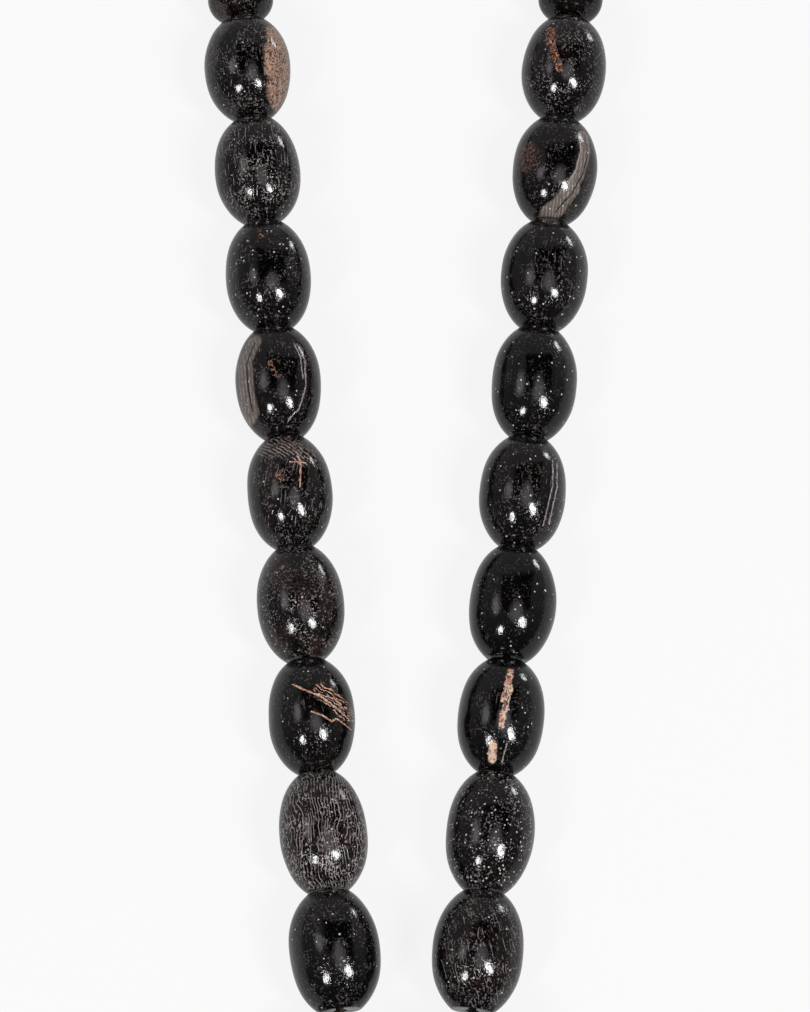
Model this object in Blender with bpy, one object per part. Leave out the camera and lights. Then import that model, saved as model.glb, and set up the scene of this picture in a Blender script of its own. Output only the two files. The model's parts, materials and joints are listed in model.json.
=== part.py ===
"""Necklace of dark wooden beads on one knotted cord, laid flat as a narrow V. Metres, +Z up."""

import math
import random

import bmesh
import bpy
from mathutils import Matrix, Vector

# Large oval beads.
OVAL_DIAMETER = 0.0152
OVAL_LENGTH = 0.0201
OVAL_END_DIAMETER = 0.0065  # of the flat face round each hole
OVAL_SWELL = 2.35  # exponent of the side curve: 2 is a true ellipse
OVALS_PER_SIDE = 10
OVAL_RINGS = 9
OVAL_SIDES = 14

# Small round beads behind the neck, getting smaller towards the knot.
ROUND_DIAMETER_FRONT = 0.0118
ROUND_DIAMETER_BACK = 0.0096
ROUND_LENGTH_FRONT = 0.0083
ROUND_LENGTH_BACK = 0.0067
ROUND_END_DIAMETER = 0.0052
ROUND_SWELL = 2.3
ROUNDS_PER_SIDE = 13
ROUND_RINGS = 7
ROUND_SIDES = 12

# Every bead.
HAND_CUT_SPREAD = 0.02
HAND_CUT_SEED = 7
BEAD_CLEARANCE = 0.0003
EDGE_ROUNDING = 0.0004

# Cord.
CORD_DIAMETER = 0.0015
CORD_CLEARANCE = 0.0003
CORD_SIDES = 8
KNOT_DIAMETER = 0.0042
KNOT_LENGTH = 0.0044
KNOT_RINGS = 7
CORNER_FILLET_STEPS = 7
CORNER_FILLET_FROM = math.radians(40)

# How the necklace lies.
V_HALF_ANGLE = math.radians(5.94)
V_HALF_WIDTH_LOW = 0.0110  # where the lowest bead of the straight V ends
SOLVER_STEPS = 50
FIT_PASSES = 12

SHARP_ANGLE = math.radians(45)
WOOD_COLOUR = (0.022, 0.014, 0.011)
WOOD_COLOUR_SPREAD = 0.35
WOOD_ROUGHNESS = 0.22
CORD_COLOUR = (0.030, 0.022, 0.018)
CORD_ROUGHNESS = 0.7

BORE_RADIUS = CORD_DIAMETER / 2 + CORD_CLEARANCE


def clear_scene():
    for obj in list(bpy.data.objects):
        bpy.data.objects.remove(obj, do_unlink=True)


def bisect(error, low, high):
    """The value between low and high where error, which rises with it, passes zero."""
    for _ in range(SOLVER_STEPS):
        middle = (low + high) / 2
        if error(middle) > 0:
            high = middle
        else:
            low = middle
    return (low + high) / 2


class Bead:
    """One bead's shape: its side curve, seen as radii at distances from its middle."""

    def __init__(self, diameter, length, end_diameter, swell, rings, sides):
        self.radius = diameter / 2
        self.length = length
        self.swell = swell
        closed_share = (1 - (end_diameter / diameter) ** 2) ** (1 / swell)
        self.reach = length / 2 / closed_share
        self.rings = rings
        self.sides = sides

    def radius_at(self, x):
        return self.radius * math.sqrt(1 - abs(x / self.reach) ** self.swell)

    def side_curve(self):
        """(x, radius) along the side, with the corner at each flat end rounded off."""
        half = self.length / 2
        last = half - EDGE_ROUNDING / 2
        curve = [(-half, self.radius_at(half) - EDGE_ROUNDING)]
        for ring in range(self.rings):
            turn = math.pi * (ring / (self.rings - 1) - 0.5)
            x = last * math.sin(turn)
            curve.append((x, self.radius_at(x)))
        curve.append((half, self.radius_at(half) - EDGE_ROUNDING))
        return curve

    def setback(self, bend):
        """How far the end face stays from a bend in the cord, so that the next bead clears."""
        half_bend = bend / 2
        most = max(
            radius * math.tan(half_bend) - (self.length / 2 - x)
            for x, radius in self.side_curve()
        )
        return most + BEAD_CLEARANCE / 2 / math.cos(half_bend)


def hand_cut(chance):
    return 1 + chance.uniform(-HAND_CUT_SPREAD, HAND_CUT_SPREAD)


def make_oval(chance):
    return Bead(
        OVAL_DIAMETER * hand_cut(chance),
        OVAL_LENGTH * hand_cut(chance),
        OVAL_END_DIAMETER,
        OVAL_SWELL,
        OVAL_RINGS,
        OVAL_SIDES,
    )


def make_round(chance, share):
    """A small bead, share of the way from the first behind the ovals to the knot."""
    diameter = ROUND_DIAMETER_FRONT + (ROUND_DIAMETER_BACK - ROUND_DIAMETER_FRONT) * share
    length = ROUND_LENGTH_FRONT + (ROUND_LENGTH_BACK - ROUND_LENGTH_FRONT) * share
    return Bead(
        diameter * hand_cut(chance),
        length * hand_cut(chance),
        ROUND_END_DIAMETER,
        ROUND_SWELL,
        ROUND_RINGS,
        ROUND_SIDES,
    )


def make_beads():
    """The bead at the foot of the V, then one side's beads from the foot up to the knot."""
    chance = random.Random(HAND_CUT_SEED)
    foot = make_oval(chance)
    side = [make_oval(chance) for _ in range(OVALS_PER_SIDE)]
    for place in range(ROUNDS_PER_SIDE):
        side.append(make_round(chance, place / (ROUNDS_PER_SIDE - 1)))
    return foot, side


class Path:
    """The line one side lies along: straight up the V, then round an arc to the middle."""

    def __init__(self, start, straight):
        self.start = start
        self.straight = straight
        self.way = Vector((math.sin(V_HALF_ANGLE), math.cos(V_HALF_ANGLE)))
        self.turn_start = start + self.way * straight
        self.radius = self.turn_start.x / math.cos(V_HALF_ANGLE)
        self.centre = Vector(
            (0, self.turn_start.y + self.radius * math.sin(V_HALF_ANGLE))
        )

    def at(self, distance):
        if distance <= self.straight:
            return self.start + self.way * distance
        turned = (distance - self.straight) / self.radius - V_HALF_ANGLE
        return self.centre + self.radius * Vector((math.cos(turned), math.sin(turned)))

    def step(self, distance, reach):
        """The distance along the path at which a straight line of this reach ends."""
        here = self.at(distance)
        return bisect(
            lambda d: (self.at(d) - here).length - reach, distance, distance + 2 * reach
        )


def heights(foot, side):
    """The cord's height at each bend: either neighbour still clears the ground."""
    neighbours = [foot] + side
    found = [max(a.radius, b.radius) for a, b in zip(neighbours, side)]
    return found + [side[-1].radius]


def bends_of(bends_at):
    """The angle turned at each bend, the first from the foot bead's own axis."""
    before = Vector((1, 0, 0))
    turned = []
    for here, there in zip(bends_at, bends_at[1:]):
        way = (there - here).normalized()
        turned.append(before.angle(way))
        before = way
    return turned + [0.0]


def lay_side(foot, side):
    """The points at which the cord bends, from beside the foot bead to the knot."""
    z = heights(foot, side)
    turned = [math.pi / 2] + [0.0] * len(side)
    for _ in range(FIT_PASSES):
        reaches = [
            bead.length + bead.setback(turned[i]) + bead.setback(turned[i + 1])
            for i, bead in enumerate(side)
        ]
        across = [
            math.sqrt(reach**2 - (z[i + 1] - z[i]) ** 2)
            for i, reach in enumerate(reaches)
        ]
        corner_x = foot.length / 2 + foot.setback(turned[0])
        lean = math.asin((V_HALF_WIDTH_LOW - corner_x) / across[0])
        corner = Vector((corner_x, 0))
        start = corner + across[0] * Vector((math.sin(lean), math.cos(lean)))

        def walk(straight):
            path = Path(start, straight)
            distance = 0.0
            points = [start]
            for reach in across[1:]:
                distance = path.step(distance, reach)
                points.append(path.at(distance))
            return points

        ovals_end = sum(across[1:OVALS_PER_SIDE])
        straight = bisect(
            lambda s: walk(s)[-1].x - KNOT_LENGTH / 2,
            ovals_end,
            ovals_end + sum(across[OVALS_PER_SIDE:]),
        )
        flat = [corner] + walk(straight)
        bends_at = [Vector((p.x, p.y, height)) for p, height in zip(flat, z)]
        turned = bends_of(bends_at)
    return bends_at, turned


def wood_material(name, chance):
    shade = 1 + chance.uniform(-WOOD_COLOUR_SPREAD, WOOD_COLOUR_SPREAD)
    colour = [channel * shade for channel in WOOD_COLOUR]
    return plain_material(name, colour, WOOD_ROUGHNESS)


def plain_material(name, colour, roughness):
    material = bpy.data.materials.new(name)
    material.use_nodes = True
    shader = material.node_tree.nodes["Principled BSDF"]
    shader.inputs["Base Color"].default_value = (*colour, 1)
    shader.inputs["Roughness"].default_value = roughness
    return material


def bead_mesh(name, bead):
    """The bead spun about its local X axis, with the bore through it."""
    half = bead.length / 2
    outline = bead.side_curve() + [(half, BORE_RADIUS), (-half, BORE_RADIUS)]
    mesh = bpy.data.meshes.new(name)
    bm = bmesh.new()
    points = [bm.verts.new((x, 0, radius)) for x, radius in outline]
    edges = [bm.edges.new(pair) for pair in zip(points, points[1:] + points[:1])]
    bmesh.ops.spin(
        bm,
        geom=points + edges,
        cent=(0, 0, 0),
        axis=(1, 0, 0),
        angle=2 * math.pi,
        steps=bead.sides,
        use_merge=True,
    )
    bmesh.ops.recalc_face_normals(bm, faces=bm.faces)
    for face in bm.faces:
        face.smooth = True
    bm.to_mesh(mesh)
    bm.free()
    mesh.set_sharp_from_angle(angle=SHARP_ANGLE)
    return mesh


def add_bead(name, bead, centre, way, chance):
    mesh = bead_mesh(name, bead)
    mesh.materials.append(wood_material(name + "_wood", chance))
    obj = bpy.data.objects.new(name, mesh)
    bpy.context.scene.collection.objects.link(obj)
    across = Vector((0, 0, 1)).cross(way).normalized()
    turn = Matrix((way, across, way.cross(across))).transposed()
    obj.matrix_world = Matrix.Translation(centre) @ turn.to_4x4()


def bead_name(place, side):
    """Numbered from the large bead nearest the neck down, and from it back to the knot."""
    if place < OVALS_PER_SIDE:
        return f"oval_bead_{side}_{OVALS_PER_SIDE - place:02d}"
    return f"round_bead_{side}_{place - OVALS_PER_SIDE + 1:02d}"


def mirrored(point):
    return Vector((-point.x, point.y, point.z))


def add_side(side, bends_at, turned, hand, flip, chance):
    for place, bead in enumerate(side):
        way = (bends_at[place + 1] - bends_at[place]).normalized()
        middle = bead.setback(turned[place]) + bead.length / 2
        centre = bends_at[place] + way * middle
        add_bead(bead_name(place, hand), bead, flip(centre), flip(way), chance)


def filleted(before, corner, after, reach):
    """Points round a corner of the cord, starting and ending this far from it."""
    start = corner + (before - corner).normalized() * reach
    end = corner + (after - corner).normalized() * reach
    points = []
    for step in range(CORNER_FILLET_STEPS):
        t = step / (CORNER_FILLET_STEPS - 1)
        points.append((1 - t) ** 2 * start + 2 * t * (1 - t) * corner + t**2 * end)
    return points


def cord_line(foot, bends_at, turned):
    """The cord's middle line down the right side, as (point, radius), from the knot."""
    radius = CORD_DIAMETER / 2
    line = []
    for place in range(len(bends_at) - 1, 0, -1):
        line.append((bends_at[place], radius))
    corner = bends_at[0]
    if turned[0] > CORNER_FILLET_FROM:
        middle = Vector((0, corner.y, corner.z))
        reach = foot.setback(turned[0])
        line += [(p, radius) for p in filleted(bends_at[1], corner, middle, reach)]
    else:
        line.append((corner, radius))
    return line


def knot_line(height, y):
    """The knot as a swelling of the cord, from the left to the right."""
    line = []
    for ring in range(1, KNOT_RINGS - 1):
        turn = math.pi * (ring / (KNOT_RINGS - 1) - 0.5)
        x = KNOT_LENGTH / 2 * math.sin(turn)
        swell = KNOT_DIAMETER / 2 * math.cos(turn)
        line.append((Vector((x, y, height)), max(swell, CORD_DIAMETER / 2)))
    return line


def add_cord(foot, bends_at, turned):
    right = cord_line(foot, bends_at, turned)
    left = [(mirrored(point), radius) for point, radius in reversed(right)]
    last = bends_at[-1]
    line = knot_line(last.z, last.y) + right + left
    data = bpy.data.curves.new("stringing_cord", "CURVE")
    data.dimensions = "3D"
    data.bevel_depth = 1.0
    data.bevel_resolution = CORD_SIDES // 2 - 2
    spline = data.splines.new("POLY")
    spline.points.add(len(line) - 1)
    for target, (point, radius) in zip(spline.points, line):
        target.co = (*point, 1)
        target.radius = radius
    spline.use_cyclic_u = True
    spline.use_smooth = True
    data.materials.append(
        plain_material("stringing_cord_fibre", CORD_COLOUR, CORD_ROUGHNESS)
    )
    obj = bpy.data.objects.new("stringing_cord", data)
    bpy.context.scene.collection.objects.link(obj)


def centre_on_ground():
    """Moves everything so that the origin is the middle of the underside."""
    bpy.context.view_layer.update()
    corners = []
    for obj in bpy.data.objects:
        if obj.type == "MESH":
            corners += [obj.matrix_world @ vertex.co for vertex in obj.data.vertices]
    low = [min(point[axis] for point in corners) for axis in range(3)]
    high = [max(point[axis] for point in corners) for axis in range(3)]
    middle = Vector(((low[0] + high[0]) / 2, (low[1] + high[1]) / 2, low[2]))
    for obj in bpy.data.objects:
        obj.location -= middle


def main():
    clear_scene()
    foot, side = make_beads()
    bends_at, turned = lay_side(foot, side)
    chance = random.Random(HAND_CUT_SEED + 1)
    foot_centre = Vector((0, bends_at[0].y, bends_at[0].z))
    add_bead("oval_bead_foot", foot, foot_centre, Vector((1, 0, 0)), chance)
    add_side(side, bends_at, turned, "left", mirrored, chance)
    add_side(side, bends_at, turned, "right", Vector, chance)
    add_cord(foot, bends_at, turned)
    centre_on_ground()


main()
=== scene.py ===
"""Beaded necklace of polished black wood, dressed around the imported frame. Metres, +Z up."""

import json
import math
import random

import bmesh
import bpy
from mathutils import Matrix, Vector, noise


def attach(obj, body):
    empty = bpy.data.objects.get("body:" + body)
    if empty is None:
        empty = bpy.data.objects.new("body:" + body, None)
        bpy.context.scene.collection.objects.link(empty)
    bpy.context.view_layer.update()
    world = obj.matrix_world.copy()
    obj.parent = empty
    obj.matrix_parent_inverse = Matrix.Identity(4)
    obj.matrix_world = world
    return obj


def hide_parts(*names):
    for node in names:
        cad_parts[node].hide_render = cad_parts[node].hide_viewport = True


bl_info = {
    "name": "Beaded wooden necklace",
    "version": (1, 0, 0),
    "blender": (4, 5, 0),
    "location": "3D View > Sidebar > Necklace",
    "description": "Turns the wooden beads, lays the knotted cord and sets the stage",
    "category": "Object",
}

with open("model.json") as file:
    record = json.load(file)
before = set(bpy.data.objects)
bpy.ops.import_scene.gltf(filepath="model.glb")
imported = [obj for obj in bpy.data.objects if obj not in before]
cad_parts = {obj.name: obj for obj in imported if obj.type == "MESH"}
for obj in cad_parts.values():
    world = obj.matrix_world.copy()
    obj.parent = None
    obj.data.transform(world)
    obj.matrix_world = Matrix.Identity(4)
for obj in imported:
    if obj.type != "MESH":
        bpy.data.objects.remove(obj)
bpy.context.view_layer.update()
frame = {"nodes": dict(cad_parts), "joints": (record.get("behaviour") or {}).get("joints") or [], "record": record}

MM = 0.001
CORD_NODE = "stringing_cord"
UP = Vector((0, 0, 1))

# Names of what each bead's mesh tells its material: its own place in millimetres
# (across, along the hole, up) and a number that sets it apart from the other beads.
PLACE = "bead_place"
LOT = "bead_lot"

# How each bead's wood is figured. Pores are short pale dashes: spacing and amount, how long
# they run, how they wander and lean. Lines are the long wavy ones, dots the cut ends, and
# pale is how strongly all of them show. Warm is how brown the ground may turn, dust how
# many pinpricks there are. Marks lie on the upper side, each as (kind, line, width, fray),
# and a line's points are (across, along) from the bead's middle, seen from above, in
# millimetres.
PLAIN = {
    "spacing": 0.42,
    "amount": 0.35,
    "run": 6.0,
    "wander": 0.7,
    "lean": 0.0,
    "lines": 0.1,
    "dots": 0.45,
    "pale": 0.6,
    "warm": 0.15,
    "dust": 0.12,
    "marks": [],
}
GRAIN_SETTINGS = ("spacing", "run", "wander", "lean", "amount", "lines", "dots")


def figured(**changes):
    return {**PLAIN, **changes}


FIGURES = {
    "oval_bead_left_01": figured(
        amount=0.7, lines=0.35, dots=0.6, pale=0.5,
        marks=[
            ("sapwood", [(5.9, 4.8), (5.9, 0.0), (5.5, -4.0), (4.9, -7.4)], 4.0, 1.0),
            ("sapwood", [(4.6, 1.0), (4.2, -3.4)], 2.6, 1.4),
        ],
    ),
    "oval_bead_left_02": figured(amount=0.4, run=7.0, lines=0.55, dots=0.8, pale=0.7),
    "oval_bead_left_03": figured(
        amount=0.4, pale=0.4, dots=0.45, dust=0.5,
        marks=[("scar", [(-0.8, 6.6), (-0.4, 5.0)], 1.0, 0.8)],
    ),
    "oval_bead_left_04": figured(
        amount=0.35, pale=0.4, dots=0.4,
        marks=[
            ("ash", [(-3.6, 6.4), (-5.6, 2.8), (-5.8, -3.0), (-5.3, -6.4)], 3.0, 0.3),
            ("gap", [(-3.4, 6.2), (-5.2, 2.6), (-5.4, -2.0), (-5.0, -6.0)], 0.3, 0.4),
            ("thread", [(4.0, 5.0), (5.0, 2.0), (4.8, -2.6), (3.2, -6.8), (1.0, -8.6)], 0.24, 0.7),
            ("thread", [(3.4, 5.2), (4.3, 2.5), (4.4, -1.6)], 0.20, 0.5),
            ("scar", [(-1.1, 1.6), (-0.7, 0.2)], 1.0, 0.6),
            ("scar", [(-1.3, -0.9), (0.4, -1.1)], 0.5, 0.6),
        ],
    ),
    "oval_bead_left_05": figured(
        amount=0.6, lean=0.25, lines=0.5, dots=0.55, pale=0.5, warm=0.35,
        marks=[
            ("strokes", [(-3.0, 7.4), (0.0, 6.4), (3.2, 4.6)], 4.6, 1.4),
            ("scar", [(-1.3, 1.3), (-0.8, 0.6)], 1.7, 0.7),
            ("crack", [(2.0, 4.6), (2.5, 3.0), (2.0, -1.4)], 0.28, 0.7),
            ("crack", [(0.6, 3.4), (3.4, 3.0)], 0.22, 0.7),
        ],
    ),
    "oval_bead_left_06": figured(
        amount=0.8, spacing=0.34, run=2.6, wander=1.4, dots=1.1, pale=0.5, warm=0.8,
        marks=[("brown", [(-3.0, 4.4), (0.0, 2.4), (2.4, 1.6)], 5.5, 3.0)],
    ),
    "oval_bead_left_07": figured(
        amount=0.35, pale=0.35, dots=0.45,
        marks=[
            ("net", [(2.4, 2.6), (4.4, 1.0), (5.9, -1.0)], 3.4, 1.9),
            ("crack", [(-2.5, 4.4), (-0.4, 2.9), (1.9, 1.7), (6.3, -2.0)], 0.34, 0.6),
            ("crack", [(0.8, 2.3), (4.4, 1.2), (5.6, -0.4)], 0.24, 0.8),
            ("crack", [(0.2, -0.9), (2.0, -1.7), (3.4, -2.7), (4.2, -2.2), (6.5, -3.6)], 0.26, 0.4),
        ],
    ),
    "oval_bead_left_08": figured(
        amount=0.6, spacing=0.35, run=5.0, wander=1.1, lines=0.95, dots=1.1, pale=1.0, warm=0.5
    ),
    "oval_bead_left_09": figured(
        amount=0.3, pale=0.3, dots=0.6, dust=0.25,
        marks=[("brown", [(-6.4, 2.0), (-6.2, -3.0)], 2.4, 1.5)],
    ),
    "oval_bead_right_01": figured(
        amount=0.6, run=4.0, wander=1.6, dots=0.8, pale=0.45,
        marks=[
            ("rust", [(-3.2, 4.8), (-2.7, 1.0), (-1.0, -3.2)], 1.5, 0.8),
            ("scar", [(-3.3, 4.6), (-2.9, 2.0)], 1.9, 0.6),
            ("scar", [(-2.9, 2.0), (-2.2, -0.6), (-0.9, -3.4)], 1.4, 0.7),
        ],
    ),
    "oval_bead_right_02": figured(
        amount=0.4, pale=0.4, dots=0.5,
        marks=[
            ("ash", [(4.6, 5.4), (5.1, 1.9), (4.5, -2.5), (2.9, -6.4)], 2.1, 0.4),
            ("ash", [(3.6, -5.0), (1.3, -8.6), (-0.7, -9.9)], 2.8, 0.6),
            ("gap", [(4.9, 5.0), (5.6, 1.4), (5.0, -2.6), (3.4, -6.4), (0.9, -9.4)], 0.2, 0.3),
            ("thread", [(4.0, 5.4), (4.3, 1.6), (3.7, -2.5), (2.0, -6.2)], 0.25, 0.4),
            ("rust", [(-5.1, 1.6), (-4.9, -1.6)], 3.0, 2.2),
        ],
    ),
    "oval_bead_right_03": figured(amount=0.4, run=8.0, lines=0.3, pale=0.35, dots=0.5, dust=0.3),
    "oval_bead_right_04": figured(amount=0.15, pale=0.3, lines=0.05, dots=0.35, dust=0.35, warm=0.05),
    "oval_bead_right_05": figured(
        amount=0.35, run=9.0, lines=0.3, pale=0.4, dust=0.3,
        marks=[
            ("thread", [(5.4, 4.6), (5.8, 0.0), (5.0, -6.4)], 0.24, 0.6),
            ("thread", [(4.6, 5.0), (5.0, 0.0), (4.0, -7.0)], 0.22, 0.6),
            ("gap", [(5.0, 5.0), (5.4, 0.0), (4.5, -6.8)], 0.3, 0.3),
        ],
    ),
    "oval_bead_right_06": figured(
        amount=0.2, run=8.0, lines=0.1, pale=0.3, dots=0.25, dust=0.3, lean=-0.3, warm=0.05
    ),
    "oval_bead_right_07": figured(
        amount=0.2, lines=0.1, pale=0.3, dots=0.35, dust=0.25, warm=0.05,
        marks=[
            ("gap", [(0.9, 6.9), (0.9, 3.0), (0.1, -4.2)], 2.1, 0.7),
            ("bark", [(0.9, 6.7), (0.6, 4.4)], 1.3, 0.8),
            ("bark", [(0.4, 4.4), (-0.1, 1.0)], 0.7, 0.7),
            ("inclusion", [(0.9, 3.8), (0.4, -1.8)], 1.1, 0.9),
            ("cream", [(1.2, 3.4), (1.2, 3.0)], 0.8, 0.2),
            ("bark", [(0.1, -1.2), (0.2, -3.4)], 1.1, 0.8),
            ("gap", [(-0.9, -6.4), (-0.8, -8.6)], 2.1, 0.4),
            ("cream", [(-0.9, -6.4), (-0.8, -8.5)], 1.5, 0.35),
            ("thread", [(1.4, -6.0), (0.9, -8.8)], 0.24, 0.5),
        ],
    ),
    "oval_bead_right_08": figured(amount=0.5, run=1.5, pale=0.5, dots=0.8, dust=1.5),
    "oval_bead_right_09": figured(
        amount=0.5, run=7.0, lean=-0.3, lines=0.6, dots=0.6, pale=0.6, warm=0.4, wander=1.1
    ),
}

# Beads with no figure of their own take one of these in turn.
SPARE_FIGURES = {
    "deep_black": figured(amount=0.3, pale=0.35),
    "open_pored": figured(amount=0.75, lines=0.6, pale=0.6, dots=0.6, wander=1.5, lean=0.15),
    "brown_streaked": figured(
        amount=0.6, run=8.0, lines=0.3, pale=0.5, warm=0.8,
        marks=[("scar", [(1.4, 3.0), (2.0, -2.4)], 0.7, 0.8)],
    ),
}

# How a bead is cut. Both waves of the unevenness count bumps along a metre, and each bead's
# lot shifts them by its own way. The end face is read within this depth of the bead's end.
SLOW_WAVE = 75
QUICK_WAVE = 210
QUICK_SHARE = 0.25
LOT_SHIFT = (9.1, 3.7, 5.3)
END_DEPTH = 0.2 * MM
SAME_PLACE = 1e-6
RIM_SEGMENTS = 3

# Studio. Each softbox is (name, direction from the beads, width and height in metres, how
# bright its face is), and each faint lamp (direction, angle it covers, strength).
SOFTBOX_DISTANCE = 2.2
SOFTBOXES = (
    ("left_softbox", (-0.47, -0.50, 0.72), (0.48, 0.54), 25.0),
    ("right_softbox", (0.50, -0.34, 0.80), (0.44, 0.82), 27.0),
    ("rim_softbox", (0.71, 0.70, 0.03), (0.45, 0.55), 10.0),
)
FAINT_LAMPS = (
    ((-0.634, 0.13, 0.763), math.radians(7), 1.7),
    ((0.19, -0.06, 0.98), math.radians(11), 1.1),
)
# The black opening in the room's ceiling: each edge as (axis, place, side it opens to), how
# soft the edges are, and what is left of the glow inside.
CEILING_EDGES = (("X", -0.42, 1), ("X", 0.72, -1), ("Y", -0.02, 1), ("Y", 0.60, -1))
CEILING_SOFTNESS = 0.03
CEILING_GLOW = 0.01
ROOM_GLOW = (0.045, 0.24)
FLOOR_REACH = 3.0

# Points round the closed line of the knot, and how far that line reaches before it is
# squeezed sideways, back and up. The cord is drawn thinner in the knot and its tails.
KNOT_LOOP_POINTS = 96
KNOT_REACH = 0.62 * MM
KNOT_SQUEEZE = (1.3, 0.72, 0.72)
KNOT_THINNING = 0.86
TAIL_POINTS = 24
TAIL_HANDS = (("left", -1), ("right", 0.8))

# Points on each bend of the cord between beads that stand apart, and across the neck.
BEND_POINTS = 12
BEND_GAP = 2 * MM
BEAD_POINTS = 4
POINTS_PER_LAY = 10
YARN_SIDES = 3

# What the properties of one kind share.
COLOUR = {"subtype": "COLOR", "size": 3, "min": 0.0, "max": 1.0}
LENGTH = {"precision": 5, "unit": "LENGTH"}


class NecklaceBeads(bpy.types.PropertyGroup):
    """How the beads are turned"""

    sides: bpy.props.IntProperty(
        name="Sides", description="Facets round a bead", default=72, min=12, max=128
    )
    oval_rings: bpy.props.IntProperty(
        name="Oval rings", description="Rings along an oval bead", default=44, min=8, max=96
    )
    round_rings: bpy.props.IntProperty(
        name="Round rings", description="Rings along a round bead", default=28, min=8, max=96
    )
    oval_swell: bpy.props.FloatProperty(
        name="Oval swell",
        description="Exponent of an oval's side curve, where 2 is a true ellipse",
        default=2.2,
        min=1.5,
        max=4.0,
    )
    round_swell: bpy.props.FloatProperty(
        name="Round swell",
        description="Exponent of a round bead's side curve",
        default=2.3,
        min=1.5,
        max=4.0,
    )
    end_rounding: bpy.props.FloatProperty(
        name="End rounding",
        description="Radius worn on the corner between a bead's side and its end",
        default=0.00035,
        min=0.00005,
        max=0.001,
        **LENGTH,
    )
    hole_rounding: bpy.props.FloatProperty(
        name="Hole rounding",
        description="Radius the cord has worn on the mouth of each hole",
        default=0.00018,
        min=0.00005,
        max=0.0005,
        **LENGTH,
    )
    hand_cut: bpy.props.FloatProperty(
        name="Hand-cut unevenness",
        description="How far a bead's side strays from a true curve",
        default=0.00032,
        min=0.0,
        max=0.0006,
        **LENGTH,
    )


class NecklaceWood(bpy.types.PropertyGroup):
    """Colours and gloss of the wood"""

    ebony: bpy.props.FloatVectorProperty(
        name="Heartwood",
        description="The near-black body colour",
        default=(0.0016, 0.0015, 0.0017),
        **COLOUR,
    )
    warm: bpy.props.FloatVectorProperty(
        name="Warm heartwood",
        description="The brown that shows in broad soft areas",
        default=(0.030, 0.017, 0.013),
        **COLOUR,
    )
    fleck: bpy.props.FloatVectorProperty(
        name="Open pores",
        description="Pale filling of the open pores",
        default=(0.47, 0.405, 0.395),
        **COLOUR,
    )
    dust: bpy.props.FloatVectorProperty(
        name="Dust",
        description="Pale dust and polish caught in pinpricks",
        default=(0.74, 0.70, 0.69),
        **COLOUR,
    )
    sapwood: bpy.props.FloatVectorProperty(
        name="Sapwood",
        description="Tan wood left at the edge of the heartwood",
        default=(0.35, 0.190, 0.125),
        **COLOUR,
    )
    russet: bpy.props.FloatVectorProperty(
        name="Russet scar",
        description="Reddish brown of small scars",
        default=(0.38, 0.165, 0.115),
        **COLOUR,
    )
    bark: bpy.props.FloatVectorProperty(
        name="Bark",
        description="Orange of cracks and ingrown bark",
        default=(0.70, 0.29, 0.17),
        **COLOUR,
    )
    cream: bpy.props.FloatVectorProperty(
        name="Cream",
        description="Palest wood inside the ingrown bark",
        default=(0.84, 0.62, 0.48),
        **COLOUR,
    )
    ash: bpy.props.FloatVectorProperty(
        name="Ash band",
        description="Grey-brown of smooth bands",
        default=(0.30, 0.25, 0.215),
        **COLOUR,
    )
    gloss: bpy.props.FloatProperty(
        name="Polish",
        description="Roughness of the oiled wood under the wax",
        subtype="FACTOR",
        default=0.15,
        min=0.02,
        max=1.0,
    )


class NecklaceCord(bpy.types.PropertyGroup):
    """The cord and its knot"""

    plies: bpy.props.IntProperty(
        name="Plies", description="Yarns twisted together", default=3, min=2, max=4
    )
    lay_length: bpy.props.FloatProperty(
        name="Lay length",
        description="Length of cord in which a yarn goes round once",
        default=0.0042,
        min=0.002,
        max=0.02,
        precision=4,
        unit="LENGTH",
    )
    tail_length: bpy.props.FloatProperty(
        name="Tail length",
        description="Cord left standing out of the knot at each trimmed end",
        default=0.0060,
        min=0.002,
        max=0.009,
        precision=4,
        unit="LENGTH",
    )
    colour: bpy.props.FloatVectorProperty(
        name="Cord colour",
        description="Dark waxed fibre",
        default=(0.028, 0.019, 0.014),
        **COLOUR,
    )


class NecklaceStage(bpy.types.PropertyGroup):
    """Floor, lights and camera"""

    floor_colour: bpy.props.FloatVectorProperty(
        name="Floor colour",
        description="The pale floor",
        default=(0.12, 0.12, 0.12),
        **COLOUR,
    )
    floor_glow: bpy.props.FloatProperty(
        name="Floor glow",
        description="How light the paper looks by itself, which keeps shadows faint",
        default=0.855,
        min=0.0,
        max=2.0,
    )
    floor_fill: bpy.props.FloatProperty(
        name="Floor fill",
        description="Light the paper throws back on the beads",
        default=0.31,
        min=0.0,
        max=2.0,
    )
    camera_elevation: bpy.props.FloatProperty(
        name="Camera elevation",
        description="Angle of the camera above the floor",
        subtype="ANGLE",
        default=math.radians(72.58),
        min=0.0,
        max=math.pi / 2,
    )
    camera_distance: bpy.props.FloatProperty(
        name="Camera distance",
        description="From the camera to the point it looks at",
        default=0.5787,
        min=0.1,
        max=5.0,
        precision=4,
        unit="LENGTH",
    )
    camera_target: bpy.props.FloatVectorProperty(
        name="Camera target",
        description="The point the camera looks at",
        subtype="TRANSLATION",
        size=3,
        default=(-0.0002, -0.0320, 0.0075),
    )
    camera_lens: bpy.props.FloatProperty(
        name="Lens", description="Focal length in millimetres", default=117.4, min=20.0, max=300.0
    )


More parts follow.
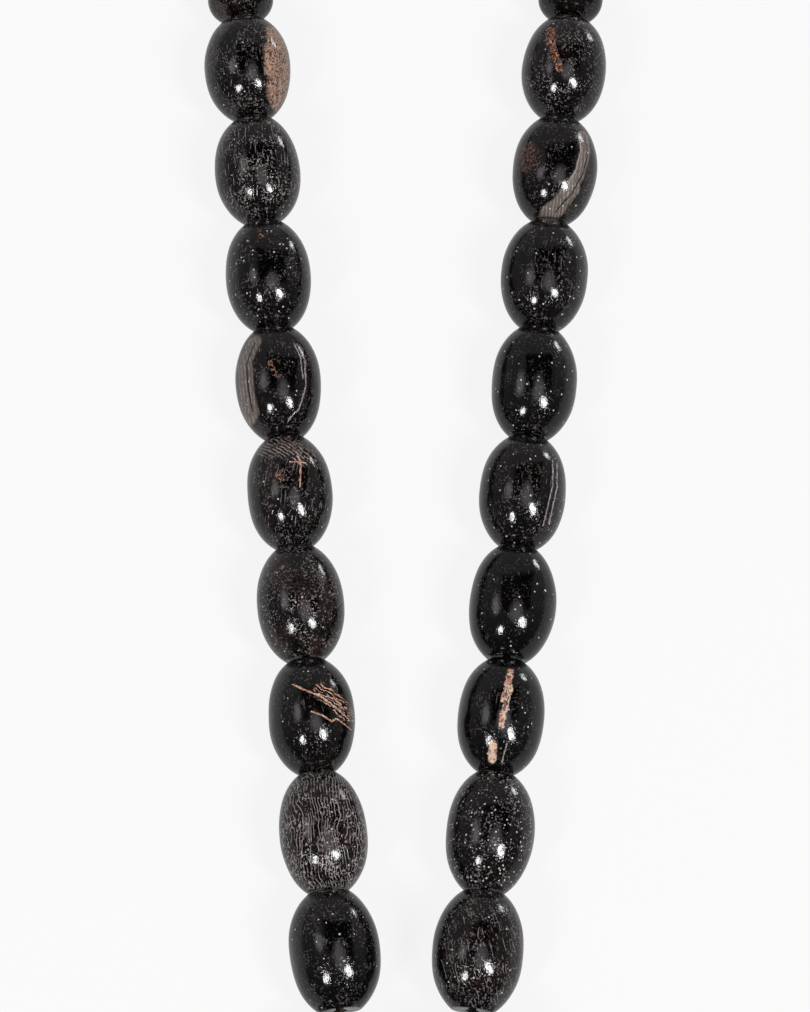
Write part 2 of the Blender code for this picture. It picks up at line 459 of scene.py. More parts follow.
class Bench:
    """Places shader nodes in one node tree and joins them."""

    def __init__(self, tree):
        self.tree = tree

    def add(self, kind, inputs=None, **settings):
        node = self.tree.nodes.new(kind)
        for key, value in settings.items():
            setattr(node, key, value)
        for key, value in (inputs or {}).items():
            self.feed(node.inputs[key], value)
        return node

    def feed(self, socket, value):
        if isinstance(value, bpy.types.NodeSocket):
            self.tree.links.new(value, socket)
        else:
            socket.default_value = value

    def math(self, operation, a, b=0.0, clamp=False):
        node = self.add("ShaderNodeMath", {0: a, 1: b}, operation=operation, use_clamp=clamp)
        return node.outputs[0]

    def scale_add(self, value, by, plus):
        """The value times by, and then plus."""
        node = self.add("ShaderNodeMath", {0: value, 1: by, 2: plus}, operation="MULTIPLY_ADD")
        return node.outputs[0]

    def vector(self, operation, a, b=(0, 0, 0), out="Vector"):
        node = self.add("ShaderNodeVectorMath", {0: a, 1: b}, operation=operation)
        return node.outputs[out]

    def scaled(self, vector, by):
        node = self.add("ShaderNodeVectorMath", {0: vector, "Scale": by}, operation="SCALE")
        return node.outputs["Vector"]

    def blend(self, share, a, b):
        node = self.add("ShaderNodeMix", {0: share, 6: a, 7: b}, data_type="RGBA")
        return node.outputs[2]

    def fade(self, value, start, end, low=0.0, high=1.0):
        """From low at start to high at end, with a soft beginning and end."""
        node = self.add(
            "ShaderNodeMapRange",
            {0: value, 1: start, 2: end, 3: low, 4: high},
            interpolation_type="SMOOTHSTEP",
        )
        return node.outputs[0]

    def noise(self, vector, scale, detail=2.0, out="Fac", rough=0.5):
        node = self.add(
            "ShaderNodeTexNoise",
            {"Vector": vector, "Scale": scale, "Detail": detail, "Roughness": rough},
        )
        return node.outputs[out]

    def cells(self, vector, scale):
        return self.add("ShaderNodeTexVoronoi", {"Vector": vector, "Scale": scale})

    def turned(self, vector, angle):
        """The place turned about the upright axis."""
        node = self.add(
            "ShaderNodeVectorRotate", {"Vector": vector, "Angle": angle}, rotation_type="Z_AXIS"
        )
        return node.outputs[0]

    def part(self, vector, axis):
        return self.add("ShaderNodeSeparateXYZ", {0: vector}).outputs[axis]


def opaque(colour):
    return (*colour, 1.0)


def place_object(name, data):
    """A new object of this data, unturned at the origin of the scene."""
    made = bpy.data.objects.new(name, data)
    bpy.context.scene.collection.objects.link(made)
    return made


def new_group(name, inputs, outputs):
    """An empty shader node group, its bench, and its input sockets."""
    tree = bpy.data.node_groups.new(name, "ShaderNodeTree")
    for label, kind, default in inputs:
        socket = tree.interface.new_socket(
            name=label, in_out="INPUT", socket_type="NodeSocket" + kind
        )
        if default is not None:
            socket.default_value = default
    for label, kind in outputs:
        tree.interface.new_socket(
            name=label, in_out="OUTPUT", socket_type="NodeSocket" + kind
        )
    bench = Bench(tree)
    given = tree.nodes.new("NodeGroupInput").outputs
    return tree, bench, given


def give(bench, **values):
    out = bench.tree.nodes.new("NodeGroupOutput")
    for label, value in values.items():
        bench.feed(out.inputs[label], value)


def pore_group():
    """Open pores: short pale dashes and wavy lines along the grain, dots where it ends."""
    tree, b, given = new_group(
        "wood_pores",
        [
            ("Place", "Vector", None),
            ("Lot", "Float", 0.0),
            ("Spacing", "Float", 0.44),
            ("Run", "Float", 6.0),
            ("Wander", "Float", 0.8),
            ("Lean", "Float", 0.0),
            ("Amount", "Float", 0.35),
            ("Lines", "Float", 0.15),
            ("Dots", "Float", 0.35),
        ],
        [("Fleck", "Float"), ("Hair", "Float"), ("Tone", "Float")],
    )
    own = b.vector("ADD", given["Place"], b.scaled((17.0, 31.0, 7.0), given["Lot"]))
    drift = b.vector("SUBTRACT", b.noise(own, 0.16, 2.0, "Color"), (0.5, 0.5, 0.5))
    bent = b.vector("ADD", own, b.scaled(drift, b.math("MULTIPLY", given["Wander"], 3.0)))
    leaned = b.turned(bent, given["Lean"])
    along = b.math("DIVIDE", 1.0, given["Run"])
    squeeze = b.add("ShaderNodeCombineXYZ", {0: 1.0, 1: along, 2: 1.0}).outputs[0]
    grain = b.vector("MULTIPLY", leaned, squeeze)
    density = b.math("DIVIDE", 1.0, given["Spacing"])
    patchy = b.fade(b.noise(own, 0.30, 2.0), 0.32, 0.62, 0.25, 1.2)
    thick = b.fade(b.noise(own, 0.33, 2.0), 0.38, 0.62, 0.1, 1.1)
    sprinkled = b.math("MULTIPLY", given["Dots"], thick)
    peel = b.fade(b.noise(own, 2.4, 1.0), 0.56, 0.68)
    fleck = b.math("MULTIPLY", peel, sprinkled)
    across = b.part(leaned, "X")
    ridge = b.math("SINE", b.math("MULTIPLY", across, b.math("MULTIPLY", density, 4.2)))
    drawn_out = b.vector("MULTIPLY", leaned, (1.5, 0.30, 1.5))
    bare = b.scale_add(given["Lines"], -0.30, 0.68)
    unbroken = b.math("SUBTRACT", b.noise(drawn_out, 1.0, 1.0), bare)
    line = b.math("MULTIPLY", b.fade(ridge, 0.64, 1.04), b.fade(unbroken, 0.0, 0.18))
    fleck = b.math("MAXIMUM", fleck, line)
    for place, crowding, wide, share in (
        (grain, 1.0, 0.27, b.math("MULTIPLY", given["Amount"], patchy)),
        (own, 0.9, 0.34, b.math("MULTIPLY", sprinkled, 0.6)),
    ):
        cells = b.cells(place, b.math("MULTIPLY", density, crowding))
        chance = b.add("ShaderNodeSeparateColor", {0: cells.outputs["Color"]})
        kept = b.math("LESS_THAN", chance.outputs[0], share)
        body = b.fade(cells.outputs["Distance"], wide, wide * 0.5)
        strength = b.fade(chance.outputs[2], 0.1, 1.0, 0.4, 1.0)
        fleck = b.math("MAXIMUM", fleck, b.math("MULTIPLY", b.math("MULTIPLY", body, kept), strength))
    hair = b.noise(b.vector("MULTIPLY", leaned, (1.0, 0.5, 1.0)), 2.5, 2.0, rough=0.6)
    tone = b.fade(b.noise(b.vector("MULTIPLY", leaned, (1.0, 0.4, 1.0)), 0.35, 3.0), 0.42, 0.72)
    give(b, Fleck=fleck, Hair=hair, Tone=tone)
    return tree


def stroke_group():
    """One straight stroke as seen from above the bead, frayed along its edges."""
    tree, b, given = new_group(
        "bark_stroke",
        [
            ("Place", "Vector", None),
            ("Start", "Vector", None),
            ("End", "Vector", None),
            ("Width", "Float", 1.0),
            ("Fray", "Float", 0.5),
        ],
        [("Mask", "Float")],
    )
    shake = b.vector("SUBTRACT", b.noise(given["Place"], 1.4, 4.0, "Color", 0.68), (0.5,) * 3)
    place = b.vector("ADD", given["Place"], b.scaled(shake, given["Fray"]))
    height = b.part(place, "Z")
    flat = b.vector("MULTIPLY", place, (1.0, 1.0, 0.0))
    from_start = b.vector("SUBTRACT", flat, given["Start"])
    whole = b.vector("SUBTRACT", given["End"], given["Start"])
    run = b.math(
        "DIVIDE",
        b.vector("DOT_PRODUCT", from_start, whole, "Value"),
        b.vector("DOT_PRODUCT", whole, whole, "Value"),
        clamp=True,
    )
    off = b.vector("SUBTRACT", from_start, b.scaled(whole, run))
    distance = b.vector("LENGTH", off, out="Value")
    edge = b.math("MULTIPLY", given["Width"], 0.55)
    core = b.math("MULTIPLY", given["Width"], 0.35)
    upper = b.fade(height, -0.8, 0.4)
    give(b, Mask=b.math("MULTIPLY", b.fade(distance, edge, core), upper))
    return tree


def dust_group():
    """Scattered pinpricks of dust and polish caught in the wood."""
    tree, b, given = new_group(
        "wood_dust",
        [("Place", "Vector", None), ("Lot", "Float", 0.0), ("Amount", "Float", 0.2)],
        [("Speck", "Float")],
    )
    own = b.vector("ADD", given["Place"], b.scaled((5.0, 23.0, 41.0), given["Lot"]))
    cells = b.cells(own, 1.35)
    chance = b.add("ShaderNodeSeparateColor", {0: cells.outputs["Color"]}).outputs[1]
    kept = b.math("LESS_THAN", chance, b.math("MULTIPLY", given["Amount"], 0.36))
    give(b, Speck=b.math("MULTIPLY", b.fade(cells.outputs["Distance"], 0.27, 0.15), kept))
    return tree


def group(name):
    makers = {"wood_pores": pore_group, "bark_stroke": stroke_group, "wood_dust": dust_group}
    return bpy.data.node_groups.get(name) or makers[name]()


def use_group(bench, name, inputs):
    node = bench.tree.nodes.new("ShaderNodeGroup")
    node.node_tree = group(name)
    for label, value in inputs.items():
        bench.feed(node.inputs[label], value)
    return node.outputs


def attribute(bench, name, out):
    return bench.add("ShaderNodeAttribute", attribute_name=name).outputs[out]


def netting(bench, place, size, stretch, lean):
    """Fine crossing lines, as torn fibres leave."""
    turned = bench.turned(place, lean)
    slow = bench.noise(bench.vector("MULTIPLY", turned, (1.0, stretch, 1.0)), size, 1.5)
    return bench.fade(bench.math("ABSOLUTE", bench.math("SUBTRACT", slow, 0.5)), 0.08, 0.025)


def hatching(bench, place, spacing, lean, wobble):
    """Long parallel lines that waver a little, leaning from the grain."""
    shake = bench.scaled(bench.noise(place, 0.55, 2.0, "Color"), wobble)
    turned = bench.turned(bench.vector("ADD", place, shake), lean)
    across = bench.part(turned, "X")
    wave = bench.math("SINE", bench.math("MULTIPLY", across, 2 * math.pi / spacing))
    broken = bench.fade(bench.noise(place, 1.2, 2.0), 0.38, 0.50)
    return bench.math("MULTIPLY", bench.fade(wave, 0.25, 0.90), broken)


def mark_colour(bench, kind, place, mottle, fine):
    """(colour, how much of it covers the black) for one kind of mark."""
    wood = bpy.context.scene.necklace_wood
    dark, warm, fleck = opaque(wood.ebony), opaque(wood.warm), opaque(wood.fleck)
    sapwood, russet, bark = opaque(wood.sapwood), opaque(wood.russet), opaque(wood.bark)
    cream, ash = opaque(wood.cream), opaque(wood.ash)
    if kind == "sapwood":
        pits = bench.fade(bench.noise(place, 2.0, 1.0), 0.45, 0.57)
        ground = bench.blend(pits, bench.blend(0.22, warm, russet), sapwood)
        worm = bench.math("MULTIPLY", netting(bench, place, 1.9, 0.6, 0.2), 0.5)
        return bench.blend(worm, ground, cream), 0.95
    if kind == "brown":
        return bench.blend(fine, dark, warm), bench.math("MULTIPLY", mottle, 0.8)
    if kind == "rust":
        return bench.blend(mottle, warm, russet), bench.math("MULTIPLY", fine, 0.6)
    if kind == "scar":
        torn = netting(bench, place, 1.9, 0.6, 0.3)
        return bench.blend(mottle, russet, bark), bench.math("MULTIPLY", torn, fine)
    if kind == "net":
        threads = hatching(bench, place, 0.5, -0.96, 1.7)
        return bench.blend(mottle, bark, cream), threads
    if kind == "strokes":
        return bench.blend(mottle, fleck, sapwood), hatching(bench, place, 0.62, -0.8, 1.0)
    if kind == "thread":
        return fleck, bench.fade(mottle, 0.0, 1.0, 0.55, 0.95)
    if kind == "crack":
        return bench.blend(mottle, bark, cream), bench.fade(fine, 0.0, 1.0, 0.6, 1.0)
    if kind == "bark":
        ground = bench.blend(mottle, russet, bark)
        worm = netting(bench, place, 1.3, 0.7, 0.9)
        pits = bench.fade(bench.noise(place, 1.5, 1.0), 0.38, 0.48, 0.15, 0.97)
        return bench.blend(worm, ground, cream), pits
    if kind == "inclusion":
        worm = netting(bench, place, 1.2, 0.5, 0.2)
        return bench.blend(worm, bench.blend(mottle, warm, ash), cream), 0.92
    if kind == "cream":
        pits = bench.fade(bench.noise(place, 1.8, 1.0), 0.36, 0.48)
        return bench.blend(pits, russet, cream), 1.0
    if kind == "gap":
        return dark, 0.92
    stripes = hatching(bench, place, 0.6, 0.0, 0.8)
    return bench.blend(bench.math("MULTIPLY", stripes, 0.7), bench.blend(0.55, warm, ash), fleck), 0.9


def mark_mask(bench, place, line, width, fray):
    """Where a mark lies: a frayed stroke from each point of its line to the next."""
    strokes = []
    for start, end in zip(line, line[1:]):
        course = {"Start": (*start, 0.0), "End": (*end, 0.0), "Width": width, "Fray": fray}
        strokes.append(use_group(bench, "bark_stroke", {"Place": place, **course})[0])
    mask = strokes[0]
    for other in strokes[1:]:
        mask = bench.math("MAXIMUM", mask, other)
    return mask


def draw_marks(bench, place, marks, colour):
    """(colour with the marks on it, how much of it they cover or None)."""
    cover = None
    mottle = bench.fade(bench.noise(place, 1.7, 4.0, rough=0.65), 0.38, 0.62)
    fine = bench.fade(bench.noise(place, 3.4, 3.0), 0.40, 0.62)
    for kind, line, width, fray in marks:
        mask = mark_mask(bench, place, line, width, fray)
        paint, strength = mark_colour(bench, kind, place, mottle, fine)
        mask = bench.math("MULTIPLY", mask, strength)
        colour = bench.blend(mask, colour, paint)
        cover = mask if cover is None else bench.math("MAXIMUM", cover, mask)
    return colour, cover


def bead_wood(name, figure):
    """Polished black wood with pores, dust and this bead's own marks."""
    wood = bpy.context.scene.necklace_wood
    material = bpy.data.materials.new(name)
    material.use_nodes = True
    tree = material.node_tree
    b = Bench(tree)
    shader = tree.nodes["Principled BSDF"]
    place = attribute(b, PLACE, "Vector")
    lot = attribute(b, LOT, "Fac")
    grain = {name.capitalize(): figure[name] for name in GRAIN_SETTINGS}
    pores = use_group(b, "wood_pores", {"Place": place, "Lot": lot, **grain})
    speck = use_group(b, "wood_dust", {"Place": place, "Lot": lot, "Amount": figure["dust"]})[0]
    warmth = b.math("MULTIPLY", pores["Tone"], figure["warm"])
    colour = b.blend(warmth, opaque(wood.ebony), opaque(wood.warm))
    pale = b.math("MULTIPLY", pores["Fleck"], figure["pale"])
    colour = b.blend(pale, colour, opaque(wood.fleck))
    colour, cover = draw_marks(b, place, figure["marks"], colour)
    b.feed(shader.inputs["Base Color"], b.blend(speck, colour, opaque(wood.dust)))
    rough = b.scale_add(pores["Fleck"], 0.25, wood.gloss)
    if cover is not None:
        rough = b.scale_add(cover, 0.18, rough)
    sunk = b.math("MULTIPLY", pores["Fleck"], -0.5)
    height = b.scale_add(pores["Hair"], 0.55, sunk)
    if cover is not None:
        height = b.scale_add(cover, -0.6, height)
    b.feed(shader.inputs["Roughness"], rough)
    bump = b.add("ShaderNodeBump", {"Height": height, "Strength": 0.8, "Distance": 0.00005})
    b.feed(shader.inputs["Normal"], bump.outputs[0])
    b.feed(shader.inputs["Coat Normal"], bump.outputs[0])
    shader.inputs["Coat Weight"].default_value = 1.0
    shader.inputs["Coat Roughness"].default_value = 0.06
    shader.inputs["Specular IOR Level"].default_value = 0.12
    return material


def cord_fibre():
    """Dark waxed yarn with a faint fuzz of lighter fibres."""
    cord = bpy.context.scene.necklace_cord
    material = bpy.data.materials.new("waxed_cord")
    material.use_nodes = True
    b = Bench(material.node_tree)
    shader = material.node_tree.nodes["Principled BSDF"]
    where = b.add("ShaderNodeTexCoord").outputs["Object"]
    fibres = b.noise(where, 5200.0, 3.0, rough=0.6)
    worn = b.noise(where, 420.0, 2.0)
    light = opaque([channel * 3.2 for channel in cord.colour])
    share = b.math("MULTIPLY", b.fade(fibres, 0.45, 0.70), b.fade(worn, 0.35, 0.65))
    b.feed(shader.inputs["Base Color"], b.blend(share, opaque(cord.colour), light))
    b.feed(shader.inputs["Roughness"], b.fade(fibres, 0.2, 0.8, 0.5, 0.75))
    bump = b.add("ShaderNodeBump", {"Height": fibres, "Strength": 0.5, "Distance": 0.00006})
    b.feed(shader.inputs["Normal"], bump.outputs[0])
    shader.inputs["Sheen Weight"].default_value = 0.3
    return material


def measure_bead(node, joint, swell):
    """A bead's size and place, read from its CAD node and its joint."""
    centre = Vector(joint["pos_m"])
    along = Vector(joint["axis"]).normalized()
    points = [vertex.co - centre for vertex in frame["nodes"][node].data.vertices]
    spots = [(p.dot(along), (p - along * p.dot(along)).length) for p in points]
    half = max(x for x, _ in spots)
    radius = max(r for _, r in spots)
    end_radius = max(r for x, r in spots if x > half - END_DEPTH)
    right = along.cross(UP).normalized()
    reach = half / (1 - (end_radius / radius) ** 2) ** (1 / swell)
    return {
        "centre": centre,
        "along": along,
        "right": right,
        "up": right.cross(along),
        "half": half,
        "end_radius": end_radius,
        "bore": min(r for _, r in spots),
        "swell": swell,
        "radius": radius / MM,
        "reach": reach / MM,
    }


def turned_outline(bead, rings):
    """(along, radius) points of half a bead's section, closed through its hole."""
    radius, reach = bead["radius"] * MM, bead["reach"] * MM
    outline = []
    for ring in range(rings):
        along = bead["half"] * math.sin(math.pi * (ring / (rings - 1) - 0.5))
        outline.append((along, radius * math.sqrt(1 - (abs(along) / reach) ** bead["swell"])))
    bore = [(bead["half"] * share, bead["bore"]) for share in (1, 0.5, 0, -0.5, -1)]
    return outline + bore


def rim_edges(bm, half, radius):
    """The edges of the rings at both ends of a bead that have this radius."""
    found = []
    for edge in bm.edges:
        ends = [(abs(v.co.x), math.hypot(v.co.y, v.co.z)) for v in edge.verts]
        if all(abs(x - half) < SAME_PLACE and abs(r - radius) < SAME_PLACE for x, r in ends):
            found.append(edge)
    return found


def round_rims(bm, half, radius, rounding):
    """Wears the sharp corner of this radius off both ends of a bead."""
    bmesh.ops.bevel(
        bm,
        geom=rim_edges(bm, half, radius),
        offset=rounding,
        offset_type="OFFSET",
        affect="EDGES",
        segments=RIM_SEGMENTS,
        profile=0.5,
        material=-1,
        clamp_overlap=True,
    )


def stray(bm, bead, amount, lot):
    """Pushes the bead's side in and out a little, as a hand-held cutter leaves it."""
    shift = Vector([lot * way for way in LOT_SHIFT])
    for vertex in bm.verts:
        arm = Vector((0, vertex.co.y, vertex.co.z))
        if arm.length < bead["end_radius"] * 0.9:
            continue
        slow = noise.noise(vertex.co * SLOW_WAVE + shift)
        quick = noise.noise(vertex.co * QUICK_WAVE + shift)
        fade = 1 - abs(vertex.co.x / bead["half"]) ** 3
        vertex.co += arm.normalized() * (slow + QUICK_SHARE * quick) * amount * fade


def turn_bead(node, joint, swell, rings, lot):
    """One bead's mesh piece, spun about its hole and put in its place."""
    settings = bpy.context.scene.necklace_beads
    bead = measure_bead(node, joint, swell)
    bm = bmesh.new()
    outline = [bm.verts.new((x, 0, r)) for x, r in turned_outline(bead, rings)]
    edges = [bm.edges.new(pair) for pair in zip(outline, outline[1:] + outline[:1])]
    bmesh.ops.spin(
        bm,
        geom=outline + edges,
        cent=(0, 0, 0),
        axis=(1, 0, 0),
        angle=2 * math.pi,
        steps=settings.sides,
        use_merge=True,
    )
    round_rims(bm, bead["half"], bead["end_radius"], settings.end_rounding)
    round_rims(bm, bead["half"], bead["bore"], settings.hole_rounding)
    stray(bm, bead, settings.hand_cut, lot)
    bmesh.ops.recalc_face_normals(bm, faces=bm.faces)
    places = [(v.co.y / MM, v.co.x / MM, v.co.z / MM) for v in bm.verts]
    turn = Matrix((bead["along"], bead["right"], bead["up"])).transposed().to_4x4()
    bmesh.ops.transform(bm, matrix=Matrix.Translation(bead["centre"]) @ turn, verts=bm.verts)
    if turn.determinant() < 0:
        bmesh.ops.reverse_faces(bm, faces=bm.faces)
    for face in bm.faces:
        face.smooth = True
    mesh = bpy.data.meshes.new("turned_" + node)
    bm.to_mesh(mesh)
    bm.free()
    spots = mesh.attributes.new(PLACE, "FLOAT_VECTOR", "POINT")
    spots.data.foreach_set("vector", [value for spot in places for value in spot])
    lots = mesh.attributes.new(LOT, "FLOAT", "POINT")
    lots.data.foreach_set("value", [lot] * len(mesh.vertices))
    return place_object("turned_" + node, mesh)


def spare_wood(turn):
    """A shared material for beads that have no figure of their own, taken in turn."""
    names = sorted(SPARE_FIGURES)
    figure = names[turn % len(names)]
    name = "black_wood_" + figure
    return bpy.data.materials.get(name) or bead_wood(name, SPARE_FIGURES[figure])


def string_beads(kind, swell, rings):
    """Turns every bead whose node name starts with kind, and puts each on its own body."""
    chance = random.Random(kind)
    joints = {joint["child"]: joint for joint in frame["joints"]}
    bodies = sorted(frame["record"]["behaviour"]["bodies"].items())
    beads = [(body, node) for body, nodes in bodies for node in nodes if node.startswith(kind)]
    if not beads:
        raise RuntimeError("the frame has no beads named " + kind)
    spare = 0
    for body, node in beads:
        piece = turn_bead(node, joints[body], swell, rings, chance.uniform(0, 10))
        if node in FIGURES:
            material = bead_wood("black_wood_of_" + node, FIGURES[node])
        else:
            material = spare_wood(spare)
            spare += 1
        piece.data.materials.append(material)
        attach(piece, body)
        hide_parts(node)


class NECKLACE_OT_oval_beads(bpy.types.Operator):
    """Turn the large oval beads and string them where the frame has them"""

    bl_idname = "necklace.oval_beads"
    bl_label = "Turn the oval beads"

    def execute(self, context):
        settings = context.scene.necklace_beads
        string_beads("oval_bead", settings.oval_swell, settings.oval_rings)
        return {"FINISHED"}


class NECKLACE_OT_round_beads(bpy.types.Operator):
    """Turn the small round beads and string them where the frame has them"""

    bl_idname = "necklace.round_beads"
    bl_label = "Turn the round beads"

    def execute(self, context):
        settings = context.scene.necklace_beads
        string_beads("round_bead", settings.round_swell, settings.round_rings)
        return {"FINISHED"}


def bead_ends(name):
    """(first end, last end, direction) of a bead's hole, in the order it is strung."""
    joint = next(j for j in frame["joints"] if j["child"] == name + "_body")
    bead = measure_bead(name, joint, 2.0)
    reach = bead["along"] * bead["half"]
    return bead["centre"] - reach, bead["centre"] + reach, bead["along"]


def strung_order():
    """Names of one side's beads from the foot of the V up to the knot."""
    names = [n for n in frame["nodes"] if "_right_" in n]
    ovals = sorted((n for n in names if n.startswith("oval")), reverse=True)
    return ovals + sorted(n for n in names if n.startswith("round"))


def hermite(start, start_way, end, end_way, steps):
    """Points on a smooth bend that leaves start and meets end along the given ways."""
    pull = (end - start).length
    found = []
    for step in range(steps):
        t = step / steps
        found.append(
            start * (2 * t**3 - 3 * t**2 + 1)
            + start_way * pull * (t**3 - 2 * t**2 + t)
            + end * (3 * t**2 - 2 * t**3)
            + end_way * pull * (t**3 - t**2)
        )
    return found


def half_line():
    """The cord's middle line up the right side, from the foot's middle to the knot."""
    low, high, way = bead_ends("oval_bead_foot")
    line = [(low + high) / 2]
    last, last_way = high, way
    for name in strung_order():
        low, high, way = bead_ends(name)
        steps = BEND_POINTS if (low - last).length > BEND_GAP else 1
        line += hermite(last, last_way, low, way, steps)
        line += [low.lerp(high, share / BEAD_POINTS) for share in range(BEAD_POINTS)]
        last, last_way = high, way
    return line + [last]


def even_line(line, gap):
    """The same line with points at equal distances."""
    lengths = [0.0]
    for a, b in zip(line, line[1:]):
        lengths.append(lengths[-1] + (b - a).length)
    count = round(lengths[-1] / gap)
    found, place = [], 0
    for step in range(count + 1):
        want = lengths[-1] * step / count
        while place < len(line) - 2 and lengths[place + 1] < want:
            place += 1
        share = (want - lengths[place]) / max(lengths[place + 1] - lengths[place], 1e-9)
        found.append(line[place].lerp(line[place + 1], share))
    return found


def yarns(line, plies, lay, radius, closed):
    """The yarns that wind round a line, each as a list of points."""
    found = [[] for _ in range(plies)]
    travelled = 0.0
    side = UP
    for here, there in zip(line, line[1:] + [line[0] if closed else None]):
        if there is not None and (there - here).length > 1e-9:
            way = (there - here).normalized()
        side = (side - way * side.dot(way)).normalized()
        other = way.cross(side)
        for ply in range(plies):
            turn = 2 * math.pi * (travelled / lay + ply / plies)
            found[ply].append(here + radius * (math.cos(turn) * side + math.sin(turn) * other))
        if there is not None:
            travelled += (there - here).length
    return found


def twisted_cord(name, line, diameter, closed=False):
    """A twisted cord along a line, as one mesh piece."""
    cord = bpy.context.scene.necklace_cord
    yarn = diameter / (1 + 1 / math.sin(math.pi / cord.plies))
    data = bpy.data.curves.new(name, "CURVE")
    data.dimensions = "3D"
    data.bevel_depth = yarn / 2
    data.bevel_resolution = YARN_SIDES
    data.use_fill_caps = not closed
    for points in yarns(line, cord.plies, cord.lay_length, diameter / 2 - yarn / 2, closed):
        spline = data.splines.new("POLY")
        spline.points.add(len(points) - 1)
        for target, point in zip(spline.points, points):
            target.co = (*point, 1)
        spline.use_cyclic_u = closed
        spline.use_smooth = True
    return as_mesh(place_object(name, data))


def as_mesh(piece):
    """The same object as a smoothly shaded mesh."""
    graph = bpy.context.evaluated_depsgraph_get()
    mesh = bpy.data.meshes.new_from_object(piece.evaluated_get(graph))
    name = piece.name
    bpy.data.objects.remove(piece)
    mesh.shade_smooth()
    return place_object(name, mesh)


def cord_diameter():
    """How thick the frame's cord is where it runs through the foot bead."""
    low, high, way = bead_ends("oval_bead_foot")
    middle = (low + high) / 2
    reach = (high - low).length / 2
    points = [vertex.co - middle for vertex in frame["nodes"][CORD_NODE].data.vertices]
    inside = [p for p in points if p.length < reach]
    return 2 * max((p - way * p.dot(way)).length for p in inside)


def knot_line(middle):
    """The closed three-lobed line that an overhand knot takes when it is drawn tight."""
    found = []
    for step in range(KNOT_LOOP_POINTS):
        t = 2 * math.pi * step / KNOT_LOOP_POINTS
        lobes = (
            math.sin(3 * t),
            math.sin(t) + 2 * math.sin(2 * t),
            math.cos(t) - 2 * math.cos(2 * t),
        )
        reach = [lobe * squeeze * KNOT_REACH for lobe, squeeze in zip(lobes, KNOT_SQUEEZE)]
        found.append(middle + Vector(reach))
    return found


def tail_line(middle, hand, length, radius):
    """A trimmed end that leaves the back of the knot, bends aside and lies down."""
    found = []
    for step in range(TAIL_POINTS + 1):
        t = step / TAIL_POINTS
        fall = min(1.0, 1.7 * t)
        found.append(
            Vector(
                (
                    middle.x + hand * (0.5 * MM + length * 0.75 * t**1.6),
                    middle.y + 0.9 * MM + length * (0.75 * t - 0.35 * t * t),
                    middle.z - (middle.z - radius) * (3 * fall**2 - 2 * fall**3),
                )
            )
        )
    return found


class NECKLACE_OT_cord(bpy.types.Operator):
    """Lay the twisted cord through every bead and tie its knot behind the neck"""

    bl_idname = "necklace.cord"
    bl_label = "Lay the cord"

    def execute(self, context):
        cord = context.scene.necklace_cord
        diameter = cord_diameter()
        right = even_line(half_line(), cord.lay_length / POINTS_PER_LAY)
        left = [Vector((-p.x, p.y, p.z)) for p in reversed(right)]
        material = cord_fibre()
        last = right[-1]
        middle = Vector((0, last.y, last.z))
        across = [last.lerp(left[0], share / BEND_POINTS) for share in range(1, BEND_POINTS)]
        drawn = diameter * KNOT_THINNING
        loop = twisted_cord("twisted_cord", right + across + left[:-1], diameter, True)
        knot = twisted_cord("cord_knot", knot_line(middle), drawn, True)
        tails = []
        for word, hand in TAIL_HANDS:
            line = tail_line(middle, hand, cord.tail_length, diameter / 2)
            tails.append(twisted_cord("cord_tail_" + word, line, drawn))
        for piece in [loop, knot, *tails]:
            piece.data.materials.clear()
            piece.data.materials.append(material)
            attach(piece, "strand")
        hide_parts(CORD_NODE)
        return {"FINISHED"}


def floor_material():
    """Paper that looks pale to the camera and lights the beads only a little from below."""
    stage = bpy.context.scene.necklace_stage
    material = bpy.data.materials.new("pale_floor")
    material.use_nodes = True
    b = Bench(material.node_tree)
    shader = material.node_tree.nodes["Principled BSDF"]
    shader.inputs["Base Color"].default_value = opaque(stage.floor_colour)
    shader.inputs["Roughness"].default_value = 0.9
    shader.inputs["Specular IOR Level"].default_value = 0.0
    shader.inputs["Emission Color"].default_value = (1.0, 1.0, 1.0, 1.0)
    seen = b.add("ShaderNodeLightPath").outputs["Is Camera Ray"]
    b.feed(
        shader.inputs["Emission Strength"],
        b.fade(seen, 0.0, 1.0, stage.floor_fill, stage.floor_glow),
    )
    return material


def soft_light(name, direction, distance, size, radiance, target):
    """An oval softbox of (width, height), as bright as radiance says all over its face."""
    data = bpy.data.lights.new(name, "AREA")
    data.shape = "ELLIPSE"
    data.size, data.size_y = size
    data.energy = radiance * math.pi * math.pi / 4 * size[0] * size[1]
    light = place_object(name, data)
    way = Vector(direction).normalized()
    light.location = target + way * distance
    light.rotation_euler = (-way).to_track_quat("-Z", "Y").to_euler()


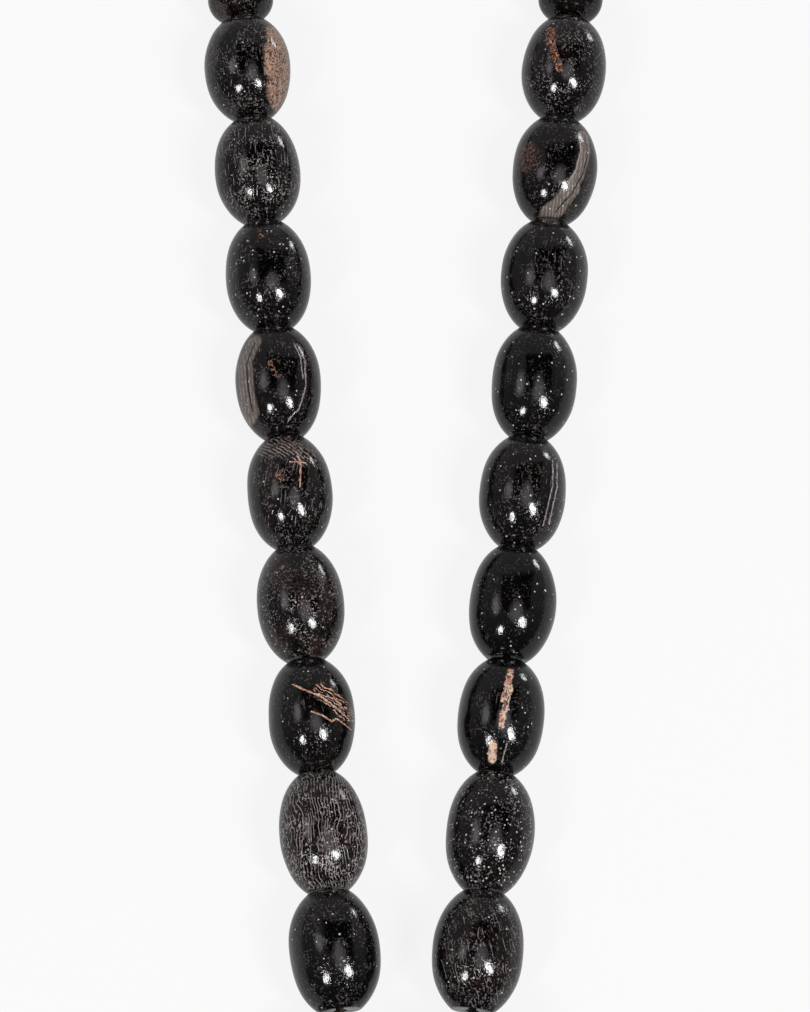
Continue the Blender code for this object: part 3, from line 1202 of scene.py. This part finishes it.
def studio_world():
    """A dim room: a grey ceiling with a black opening over the beads, and faint lamps."""
    world = bpy.data.worlds.new("studio_room")
    world.use_nodes = True
    b = Bench(world.node_tree)
    way = b.add("ShaderNodeTexCoord").outputs["Generated"]
    parts = b.add("ShaderNodeSeparateXYZ", {0: way}).outputs
    opening = b.fade(parts["Z"], 0.1, 0.4)
    for axis, edge, side in CEILING_EDGES:
        soft = CEILING_SOFTNESS * side
        opening = b.math("MULTIPLY", opening, b.fade(parts[axis], edge - soft, edge + soft))
    room = b.fade(parts["Y"], -1.0, 0.9, *ROOM_GLOW)
    glow = b.math("MULTIPLY", room, b.fade(opening, 0.0, 1.0, 1.0, CEILING_GLOW))
    for direction, size, strength in FAINT_LAMPS:
        toward = b.vector("DOT_PRODUCT", way, Vector(direction).normalized()[:], "Value")
        blob = b.fade(toward, math.cos(size * 1.8), math.cos(size * 0.4), 0.0, strength)
        glow = b.math("ADD", glow, blob)
    background = world.node_tree.nodes["Background"]
    background.inputs["Color"].default_value = (1.0, 0.955, 0.985, 1.0)
    b.feed(background.inputs["Strength"], glow)
    bpy.context.scene.world = world


class NECKLACE_OT_stage(bpy.types.Operator):
    """Set the pale floor, the studio lights and the camera"""

    bl_idname = "necklace.stage"
    bl_label = "Set the stage"

    def execute(self, context):
        stage = context.scene.necklace_stage
        bm = bmesh.new()
        bmesh.ops.create_grid(bm, x_segments=1, y_segments=1, size=FLOOR_REACH)
        mesh = bpy.data.meshes.new("floor")
        bm.to_mesh(mesh)
        bm.free()
        floor = place_object("floor", mesh)
        floor.data.materials.append(floor_material())
        target = Vector(stage.camera_target)
        for name, direction, size, radiance in SOFTBOXES:
            soft_light(name, direction, SOFTBOX_DISTANCE, size, radiance, target)
        studio_world()
        data = bpy.data.cameras.new("camera")
        data.lens = stage.camera_lens
        data.sensor_width = 36
        camera = place_object("camera", data)
        angle = stage.camera_elevation
        back = Vector((0, -math.cos(angle), math.sin(angle)))
        camera.location = target + back * stage.camera_distance
        camera.rotation_euler = (-back).to_track_quat("-Z", "Y").to_euler()
        context.scene.camera = camera
        context.scene.view_settings.view_transform = "Standard"
        context.scene.view_settings.look = "None"
        return {"FINISHED"}


class NECKLACE_PT_panel(bpy.types.Panel):
    """The necklace's sizes, colours and steps"""

    bl_idname = "NECKLACE_PT_panel"
    bl_label = "Necklace"
    bl_space_type = "VIEW_3D"
    bl_region_type = "UI"
    bl_category = "Necklace"

    def draw(self, context):
        layout = self.layout
        for group_name, _ in SETTINGS:
            settings = getattr(context.scene, group_name)
            box = layout.box()
            for prop in type(settings).__annotations__:
                box.prop(settings, prop)
        for step in STEPS:
            layout.operator(step.bl_idname)


SETTINGS = (
    ("necklace_beads", NecklaceBeads),
    ("necklace_wood", NecklaceWood),
    ("necklace_cord", NecklaceCord),
    ("necklace_stage", NecklaceStage),
)
STEPS = (
    NECKLACE_OT_oval_beads,
    NECKLACE_OT_round_beads,
    NECKLACE_OT_cord,
    NECKLACE_OT_stage,
)


def register():
    for name, settings in SETTINGS:
        bpy.utils.register_class(settings)
        setattr(bpy.types.Scene, name, bpy.props.PointerProperty(type=settings))
    for step in STEPS:
        bpy.utils.register_class(step)
    bpy.utils.register_class(NECKLACE_PT_panel)


def unregister():
    bpy.utils.unregister_class(NECKLACE_PT_panel)
    for step in reversed(STEPS):
        bpy.utils.unregister_class(step)
    for name, settings in reversed(SETTINGS):
        delattr(bpy.types.Scene, name)
        bpy.utils.unregister_class(settings)


def main():
    register()
    bpy.ops.necklace.oval_beads()
    bpy.ops.necklace.round_beads()
    bpy.ops.necklace.cord()
    bpy.ops.necklace.stage()


if __name__ == "__main__":
    main()
